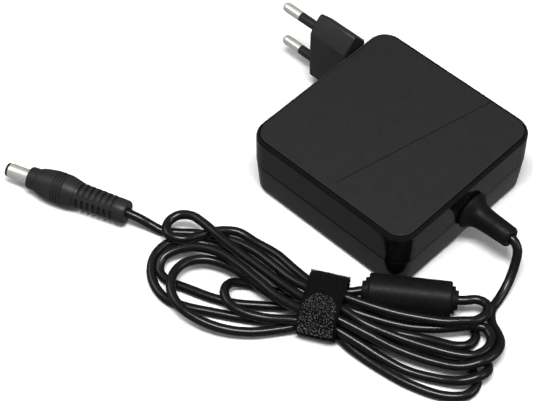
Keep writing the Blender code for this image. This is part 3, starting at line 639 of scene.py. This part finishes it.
def build_hooks():
    """Rows of little moulded hooks on the tongue's face."""
    bm = bmesh.new()
    pitch = HOOK_PITCH
    for row in range(int(TONGUE_LONG / pitch)):
        s = (row + 0.6) * pitch
        half = tongue_half(s) - 0.3
        for c in range(int(2 * half / pitch) + 1):
            u = -half + (c + (row % 2) * 0.5) * pitch + rng.uniform(-0.3, 0.3)
            if abs(u) > half or rng.random() < 0.08:
                continue
            s1 = min(max(s + rng.uniform(-0.32, 0.32), 0.2), TONGUE_LONG - 0.2)
            turn = rng.uniform(0, 2 * math.pi)
            high = rng.uniform(0.82, 1.1)
            pts = []
            for lift, reach in HOOK_PROFILE:
                sx = min(max(s1 + reach * math.cos(turn), 0.05), TONGUE_LONG - 0.05)
                t, z = tongue_at(sx, HOOK_ROOT + (lift - HOOK_ROOT) * high)
                pts.append(tie_point(u + reach * math.sin(turn), t, z))
            add_tube(bm, pts, rng.uniform(0.09, 0.15) * MM, 6, 0.8)
    return add("tie_tongue_hooks", bm, "hooks")


tie_wrap, tie_hairs = build_band(), build_fuzz()
tongue, hooks = build_tongue(), build_hooks()


# --- ferrite marks ---------------------------------------------------------------
FERRITE_AT, FERRITE_TURN = (43.8, -38.5, 6.9), math.radians(36.3)
MARK_UP = math.radians(97)      # from the overmould's side: the marks sit nearly on its top
MARK_SIDES = 12


def build_mark(name, s):
    """A small round mark on the ferrite's overmould, s along it."""
    along = Vector((math.cos(FERRITE_TURN), math.sin(FERRITE_TURN), 0))
    side = Vector((math.sin(FERRITE_TURN), -math.cos(FERRITE_TURN), 0))
    out = side * math.cos(MARK_UP) + Vector((0, 0, math.sin(MARK_UP)))
    other = along.cross(out)
    bm = bmesh.new()
    turns = [math.radians(360 / MARK_SIDES * j) for j in range(MARK_SIDES)]
    rows = []
    for radius, lift in ((0.55, 6.5), (0.55, 6.74), (0.42, 6.82)):
        at = Vector(FERRITE_AT) + along * s + out * lift
        rows.append([
            bm.verts.new((at + (along * math.cos(a) + other * math.sin(a)) * radius) * MM)
            for a in turns])
    skin(bm, rows)
    return add(name, bm, "velcro", smooth=False)


marks = [build_mark("ferrite_mark_1", -6.6), build_mark("ferrite_mark_2", 6.4)]
for mark in marks:
    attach(mark, "housing")
for piece in (tie_wrap, tie_hairs, tongue, hooks):
    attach(piece, "housing")
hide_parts("tie_band")
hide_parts("tie_tongue")

# --- floor and light -------------------------------------------------------------
FLOOR_HALF = 3.0
WORLD_STRENGTH = 0.25
white = Look("floor_white", (0.92, 0.92, 0.92), 0.9)
white.colour_from(white.noise(6, 2), (0.915, 0.915, 0.915), (0.93, 0.93, 0.93))
LOOKS["floor"] = white
bm = bmesh.new()
bmesh.ops.create_grid(bm, x_segments=8, y_segments=8, size=FLOOR_HALF)
floor = add("floor", bm, "floor", smooth=False)
floor.visible_glossy = False    # or the glossy black walls would mirror a white floor

# the sky's level by direction: 0 is straight down, 0.5 the horizon and 1 straight up
world = bpy.data.worlds.new("studio")
world.use_nodes = True
tree = world.node_tree
sky = tree.nodes["Background"]
sky.inputs["Strength"].default_value = WORLD_STRENGTH
heading = tree.nodes.new("ShaderNodeTexCoord").outputs["Generated"]
height = tree.nodes.new("ShaderNodeSeparateXYZ")
ramp = tree.nodes.new("ShaderNodeValToRGB")
stops = ramp.color_ramp.elements
stops[0].position, stops[0].color = 0.0, (0.9, 0.9, 0.9, 1)
stops[1].position, stops[1].color = 1.0, (1, 1, 1, 1)
for at, level in ((0.14, 0.85), (0.36, 0.6), (0.62, 0.5), (0.80, 1.0)):
    stop = stops.new(at)
    stop.color = (level, level, level, 1)
half = tree.nodes.new("ShaderNodeMapRange")
half.inputs["From Min"].default_value = -1.0
tree.links.new(heading, height.inputs["Vector"])
tree.links.new(height.outputs["Z"], half.inputs["Value"])
tree.links.new(half.outputs["Result"], ramp.inputs["Fac"])
tree.links.new(ramp.outputs["Color"], sky.inputs["Color"])
bpy.context.scene.world = world


def softbox(name, at, aim, size, watts):
    """A rectangular area light at a point, facing aim, both in metres."""
    data = bpy.data.lights.new(name, "AREA")
    data.shape = "RECTANGLE"
    data.size, data.size_y = size
    data.energy = watts
    ob = bpy.data.objects.new(name, data)
    bpy.context.scene.collection.objects.link(ob)
    ob.location = at
    ob.rotation_euler = (Vector(aim) - Vector(at)).to_track_quat("-Z", "Y").to_euler()


softbox("key", (0.12, -0.19, 0.78), (0, -0.03, 0), (0.40, 0.20), 7.2)
softbox("left_fill", (-0.8, -0.4, 0.8), (-0.02, -0.04, 0), (0.6, 0.6), 3)
softbox("right_fill", (0.9, 0.4, 0.7), (0, -0.02, 0.0), (0.6, 0.6), 3)
bpy.context.scene.view_settings.view_transform = "Standard"
